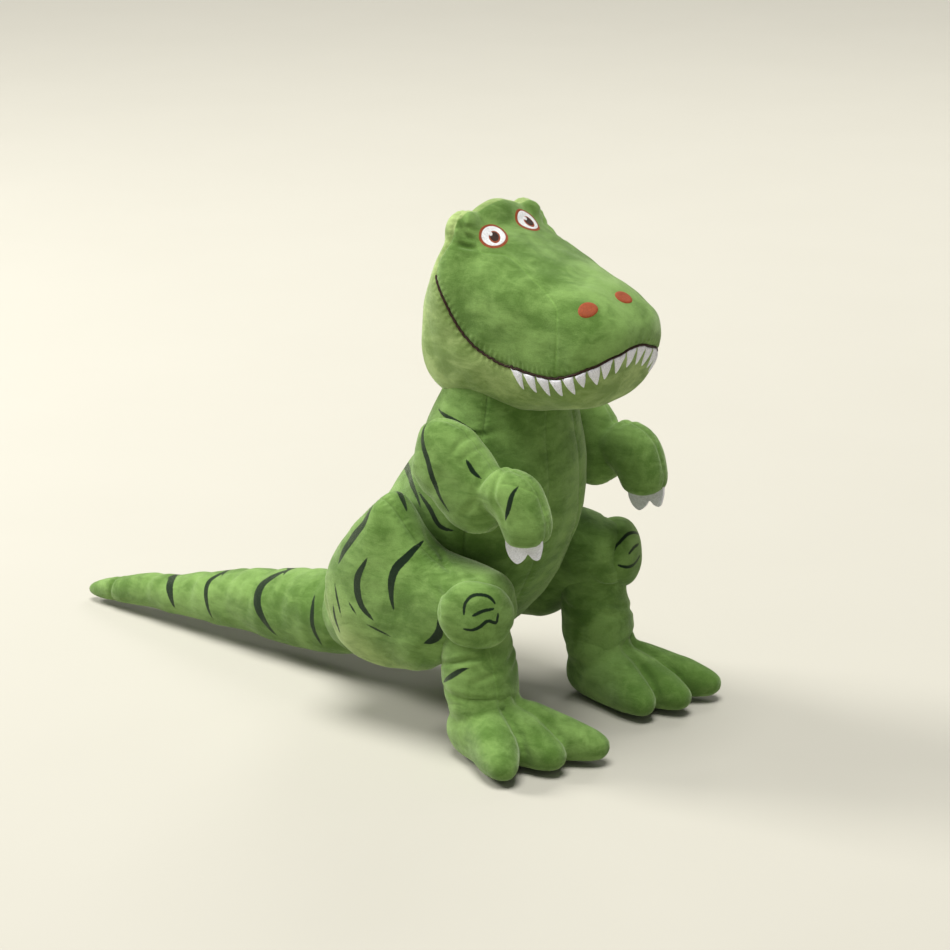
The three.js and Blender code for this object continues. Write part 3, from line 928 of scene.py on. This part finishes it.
ARM_SEAMS = [
    ([(232, 141, 452), (300, 142, 455), (352, 142, 410), (392, 142, 404), (440, 142, 396),
      (474, 142, 352), (440, 142, 310), (380, 142, 312), (330, 142, 322)], 1.0),
]
ARM_FOLDS = [
    ([(388, 122, 408), (390, 160, 391), (393, 174, 380), (404, 173, 365), (410, 169, 346)], 2.6, 4),
    ([(372, 122, 410), (366, 158, 402), (358, 172, 388)], 3.2, 5),
    ([(330, 130, 452), (322, 152, 444), (318, 168, 428)], 2.0, 4),
    ([(346, 128, 436), (338, 154, 432), (332, 170, 420)], 2.0, 4),
    ([(340, 172, 352), (352, 170, 366), (358, 168, 380)], 2.0, 5),
]
ARM_STRIPES = [
    ([(258, 150, 470), (268, 170, 442), (284, 177, 416), (293, 178, 393), (304, 175, 369),
      (317, 167, 351)], 8.5),
    ([(338, 165, 427), (343, 165, 421), (350, 165, 412), (362, 163, 404)], 6.5),
    ([(420, 158, 402), (417, 166, 394), (415, 172, 377), (409, 173, 356)], 7),
    ([(328, 166, 314), (334, 164, 308)], 6),
]
ARM_STITCHING = [
    [(400, 167, 404), (428, 155, 398), (440, 142, 384), (447, 139, 363), (447, 134, 338)],
]
for side, sign in SIDES:
    arm = stuffed(f"arm_plush_{side}", [
        loft(mirrored(ARM, sign)), loft(mirrored(HAND, sign), blunt=5),
    ], rounds=8)
    finish_skin(arm, on_side(ARM_SEAMS, sign), on_side(ARM_FOLDS, sign), on_side(ARM_STRIPES, sign),
                [mirrored(line, sign) for line in ARM_STITCHING], seed=7 + sign)
    declare(arm, f"arm_{side}", plush,
            [f"arm_outer_panel_{side}", f"arm_inner_panel_{side}", f"arm_filling_{side}"])
    claws = claw_felt(f"claws_felt_{side}", sign * CLAWS_Y)
    declare(claws, f"arm_{side}", felt, [f"claws_{side}"])

# ---- Legs ----------------------------------------------------------------------------------------
THIGH = [
    (86, 186, 190, 2), (89, 168, 208, 20), (96, 148, 234, 33), (106, 129, 256, 41),
    (118, 114, 271, 47), (140, 99, 301, 52), (165, 93, 327, 54), (190, 92, 348, 55),
    (212, 95, 332, 55), (232, 98, 308, 55), (260, 104, 286, 54), (290, 124, 276, 52),
    (320, 146, 271, 50), (350, 160, 266, 46), (370, 170, 262, 42), (382, 180, 252, 34),
    (388, 200, 232, 16), (390, 214, 218, 2),
]
THIGH_Y = 140
PALE_FROM_X, PALE_FROM_Z, PALE_BY_X, PALE_BY_Z = 0.130, 0.175, 0.007, 0.010


def haunch_nap(points):
    """The haunch's pile lies paler towards its lower back edge."""
    return (points[:, 2] - PALE_FROM_Z) * PALE_BY_Z + (points[:, 0] - PALE_FROM_X) * PALE_BY_X


HAUNCH_STRIPES = [
    ([(180, 158, 332), (172, 180, 312), (150, 186, 280), (132, 188, 244)], 14),
    ([(190, 192, 266), (173, 195, 225), (180, 194, 196), (202, 194, 177)], 12.5),
    ([(252, 145, 291), (247, 175, 275), (234, 187, 256), (231, 192, 232), (237, 194, 199)], 12),
    ([(127, 188, 218), (143, 191, 168)], 4),
    ([(125, 188, 184), (133, 182, 140)], 5.5),
    ([(156, 193, 196), (172, 194, 179)], 3.5),
    ([(187, 193, 169), (229, 190, 159)], 3.5),
    ([(312, 192, 204), (311, 190, 184), (296, 188, 166), (284, 190, 160)], 13),
    ([(150, 90, 352), (180, 110, 350), (202, 130, 343), (219, 141, 324)], 10),
]
THIGH_SEAMS = [
    ([(300, 168, 278), (250, 158, 306), (180, 156, 344), (110, 156, 306), (76, 156, 240),
      (68, 156, 170)], 1.6),
]
THIGH_FOLDS = [
    ([(268, 130, 288), (278, 142, 279), (296, 158, 272), (314, 168, 262)], 3.0, 4),
    ([(300, 192, 250), (316, 192, 232), (322, 190, 206)], 2.5, 5),
    ([(250, 150, 100), (290, 186, 130), (306, 190, 160)], 2.5, 6),
    ([(210, 150, 88), (262, 186, 120), (292, 192, 168)], 2.0, 6),
    ([(96, 150, 220), (104, 172, 190), (118, 178, 150)], 2.0, 6),
    ([(372, 102, 206), (384, 118, 192), (390, 134, 184)], 2.4, 4),
    ([(366, 98, 186), (378, 112, 176), (384, 128, 172)], 2.2, 4),
    ([(236, 120, 304), (258, 136, 296), (286, 146, 276)], 1.8, 5),
    ([(330, 176, 262), (342, 168, 268), (356, 158, 268)], 1.8, 4),
]
KNEE_MARKS = {
    "right": [
        [(358, -196, 221), (358, -193, 235), (367, -187, 247), (378, -182, 249), (387, -177, 246),
         (393, -174, 238)],
        [(371, -193, 221), (384, -186, 229), (393, -177, 231)],
        [(358, -196, 200), (371, -193, 201), (380, -190, 206), (389, -183, 215), (395, -174, 211),
         (396, -171, 223)],
    ],
    "left": [
        [(378, 132, 226), (387, 131, 240), (391, 145, 250), (391, 160, 248), (386, 172, 240)],
        [(394, 138, 224), (396, 150, 230), (395, 164, 231)],
        [(388, 127, 211), (394, 137, 206), (399, 151, 208), (396, 165, 214)],
    ],
}
KNEE_PAD, KNEE_RISE, KNEE_STROKE = (98, 96), 0.012, 4.8
KNEE_AT = {"right": (0.353, -0.163, 0.211), "left": (0.357, 0.158, 0.214)}
SHIN = [
    (338, 140, 250, 42, 44), (338, 140, 165, 45, 47), (344, 140, 112, 50, 51),
    (350, 140, 78, 49, 49), (350, 140, 40, 44, 44),
]
SHIN_FOLDS = [
    ([(298, 170, 132), (318, 184, 138), (350, 188, 150), (378, 176, 158)], 4.6, 4),
    ([(360, 184, 118), (384, 170, 131), (392, 150, 136)], 2.4, 5),
    ([(376, 98, 160), (386, 122, 150), (392, 143, 143)], 2.8, 5),
    ([(372, 98, 143), (384, 118, 134), (396, 136, 128)], 2.4, 5),
    ([(300, 100, 150), (336, 90, 140), (370, 100, 146)], 2.6, 5),
    ([(300, 168, 100), (350, 188, 96), (392, 162, 94), (396, 122, 88)], 3.4, 5),
]
SHIN_STRIPES = [([(360, 188, 142), (354, 190, 140), (337, 190, 129), (312, 183, 109)], 7.5)]
SHIN_STITCHING = [[(386, 170, 165), (391, 168, 132), (392, 164, 98)]]
TOES = {
    "right": [(160, -66), (136, 6), (100, 86)],
    "left": [(122, -58), (150, 2), (152, 82)],
}
ANKLE = (350, 140, 84)
# Rows of a toe: share of the way to its tip, height, half width and half height.
TOE_ROWS = [(0.3, 38, 37, 44), (0.7, 31, 29, 32)]
TOE_HEEL, TOE_TIP, TIP_PAST = (38, 42, 44), (24, 26, 23), 2
HEEL_BACK, TIP_SPREAD = 44, 1.02
INSTEP_DROP, INSTEP = 6, (50, 50, 46)
# The crease between two toes: reach from the ankle and height.
CREASE = [(34, 112), (62, 84), (90, 60), (104, 26)]
CREASE_DEPTH, CREASE_WIDTH = 4.0, 6
# The sole is pressed twice: below each height, in metres, depths change by a share.
SOLE_FLAT, FLAT_SHARE = 0.010, 0.35
SOLE_ROUND, ROUND_SHARE = 0.008, 1.35


def press_sole(obj, height, share):
    points = places(obj)
    low = points[:, 2] < height
    points[low, 2] = height - (height - points[low, 2]) * share
    place(obj, points)
    lift_to_floor(obj)


for side, sign in SIDES:
    thigh = stuffed(f"thigh_plush_{side}", [slices(THIGH, sign * THIGH_Y, square=2.3)])
    finish_skin(thigh, on_side(THIGH_SEAMS, sign), on_side(THIGH_FOLDS, sign),
                on_side(HAUNCH_STRIPES, sign), pale=haunch_nap, seed=11 + sign)
    declare(thigh, f"leg_{side}", plush,
            [f"thigh_outer_panel_{side}", f"thigh_inner_panel_{side}",
             f"thigh_filling_{side}"])
    pad = patch(f"knee_plush_{side}", surface(thigh), KNEE_AT[side], (0.80, sign * 0.60, 0.05),
                oval(*KNEE_PAD), KNEE_RISE, rings=26, sides=90, edge=0.55)
    finish_skin(pad, stripes=[(line, KNEE_STROKE) for line in KNEE_MARKS[side]], seed=15 + sign,
                lumps=0.6, taper=0.18)
    declare(pad, f"leg_{side}", plush, [f"knee_pad_{side}"])

    shin = stuffed(f"shin_plush_{side}", [loft(mirrored(SHIN, sign), blunt=4)])
    finish_skin(shin, folds=on_side(SHIN_FOLDS, sign), stripes=on_side(SHIN_STRIPES, sign),
                stitching=[mirrored(line, sign) for line in SHIN_STITCHING], seed=19 + sign)
    declare(shin, f"leg_{side}", plush, [f"shin_skin_{side}", f"shin_filling_{side}"])

    ax, ay, az = ANKLE[0], sign * ANKLE[1], ANKLE[2]
    toes = [ellipsoid((ax, ay, az - INSTEP_DROP), INSTEP)]
    for ahead, outward in TOES[side]:
        toes.append(loft([
            (ax - HEEL_BACK, ay, *TOE_HEEL),
            *[(ax + way * ahead, ay + way * sign * outward, *sizes) for way, *sizes in TOE_ROWS],
            (ax + ahead + TIP_PAST, ay + sign * outward * TIP_SPREAD, *TOE_TIP),
        ], rings=40, sides=32))
    foot = stuffed(f"foot_plush_{side}", toes, rounds=10)
    press_sole(foot, SOLE_FLAT, FLAT_SHARE)
    creases = []
    for (ahead, outward), (ahead_2, outward_2) in zip(TOES[side], TOES[side][1:]):
        x, y = ahead + ahead_2, outward + outward_2
        far = math.hypot(x, y)
        line = [(ax + x / far * r, ay + sign * y / far * r, z) for r, z in CREASE]
        creases.append((line, CREASE_DEPTH, CREASE_WIDTH))
    finish_skin(foot, folds=creases, seed=23 + sign, lumps=0.9)
    press_sole(foot, SOLE_ROUND, ROUND_SHARE)
    declare(foot, f"foot_{side}", plush,
            [f"foot_upper_{side}", f"foot_sole_{side}", f"foot_filling_{side}"])

# ---- Tail ----------------------------------------------------------------------------------------
TAIL = [
    (90, 0, 106, 62, 70), (20, 0, 94, 63, 66), (-56, 0, 82, 58, 61), (-193, 0, 69, 45, 46),
    (-338, 0, 48, 31, 31), (-442, 0, 34, 24, 24), (-502, 0, 21, 19, 18), (-526, 0, 17, 15, 14),
]
TIP_X, TIP_Z, TIP_LEAN, TIP_WIDE, TIP_HIGH = -466, 30, 2, 21, 22
TAIL_SEAMS = [
    ([(TIP_X + TIP_LEAN * math.cos(a), TIP_WIDE * math.sin(a), TIP_Z + TIP_HIGH * math.cos(a))
      for a in np.linspace(0, 6.28, 20)], 1.4),
    ([(0, 0, 28), (-100, 0, 20), (-193, 0, 22), (-338, 0, 17), (-442, 0, 10)], 1.4),
]
TAIL_STRIPES = [
    ([(-350, 16, 78), (-344, -4, 79), (-328, -31, 61), (-319, -31, 37)], 14),
    ([(-238, 24, 114), (-243, -4, 114), (-253, -30, 98), (-247, -42, 71), (-236, -38, 37)], 9),
    ([(-112, 22, 140), (-121, -9, 142), (-140, -36, 122), (-137, -49, 94), (-120, -55, 64),
      (-102, -48, 43)], 15),
    ([(-28, -48, 128), (-24, -57, 105), (-22, -60, 80), (-12, -50, 47)], 8),
]
# Gathers round the tail: where along it, the height of its top there, and half its width.
TAIL_GATHERS = [
    (-30, 150, 66), (-86, 142, 60), (-152, 126, 52), (-204, 112, 46), (-282, 94, 40),
    (-380, 74, 30),
]
GATHER_DEPTH, GATHER_WIDTH = 1.6, 9
tail_folds = [
    ([(x, -half, top * 0.35), (x - 4, -half * 0.7, top * 0.82), (x, 0, top),
      (x + 4, half * 0.7, top * 0.82), (x, half, top * 0.35)], GATHER_DEPTH, GATHER_WIDTH)
    for x, top, half in TAIL_GATHERS
]
tail = stuffed("tail_plush", [loft(TAIL, rings=90, blunt=4)])
finish_skin(tail, TAIL_SEAMS, tail_folds, both_sides(TAIL_STRIPES), seed=29)
lift_to_floor(tail)
declare(tail, None, plush,
        ["tail_base_skin", "tail_base_filling", "tail_end_skin", "tail_tip_skin",
         "tail_end_filling"])
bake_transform(tail)

# ---- Floor ---------------------------------------------------------------------------------------
FLOOR_HALF = 40
ground = Nodes("ground")
ground.finish({
    "Base Color": ground.mix(ground.noise(3.0, 3, 0.5), FLOOR_DARK, FLOOR_LIGHT),
    "Roughness": 0.85,
})
corners = [(x * FLOOR_HALF, y * FLOOR_HALF, 0) for x, y in ((-1, -1), (1, -1), (1, 1), (-1, 1))]
floor = mesh_object("floor", corners, [(0, 1, 2, 3)])
floor.data.materials.append(ground.material)
